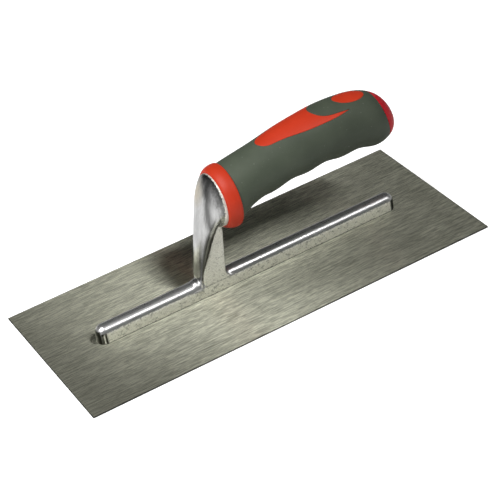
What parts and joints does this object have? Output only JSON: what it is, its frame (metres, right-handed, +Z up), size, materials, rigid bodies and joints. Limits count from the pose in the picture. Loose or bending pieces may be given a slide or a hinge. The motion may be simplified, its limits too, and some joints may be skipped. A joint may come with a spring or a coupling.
{
  "type": "plasterer's finishing trowel",
  "caption": "Rectangular steel finishing trowel: blade riveted to a cast aluminium spine and post that carries a soft-grip handle.",
  "frame": {"origin": "middle of the blade's working face, at the bottom of the object's box", "axes": "+X along the blade towards the butt of the handle, +Y across the blade to the left, +Z up out of the working face towards the handle"},
  "size_m": [0.28, 0.12, 0.0949],
  "materials": {
    "blade_steel": "brushed lengthways, olive-grey sheen, light scratches",
    "rivet_steel": "ground flush with the working face",
    "cast_aluminium": "polished on the spine's top and the front of the post, as cast on the flat sides",
    "orange_red_plastic": "satin moulded orange-red",
    "grey_green_rubber": "matte soft-touch overmould with a very fine grain",
    "crimson_plastic": "satin moulded crimson",
    "plated_steel": "bright zinc plate"
  },
  "bodies": {
    "root": {"blade": "blade_steel", "rivet_1": "rivet_steel", "rivet_2": "rivet_steel", "rivet_3": "rivet_steel", "rivet_4": "rivet_steel", "rivet_5": "rivet_steel", "rivet_6": "rivet_steel", "rivet_7": "rivet_steel", "mounting": "cast_aluminium", "handle_core": "orange_red_plastic", "soft_grip": "grey_green_rubber", "handle_screw": "plated_steel", "washer": "plated_steel", "end_cap": "crimson_plastic"}
  },
  "joints": []
}
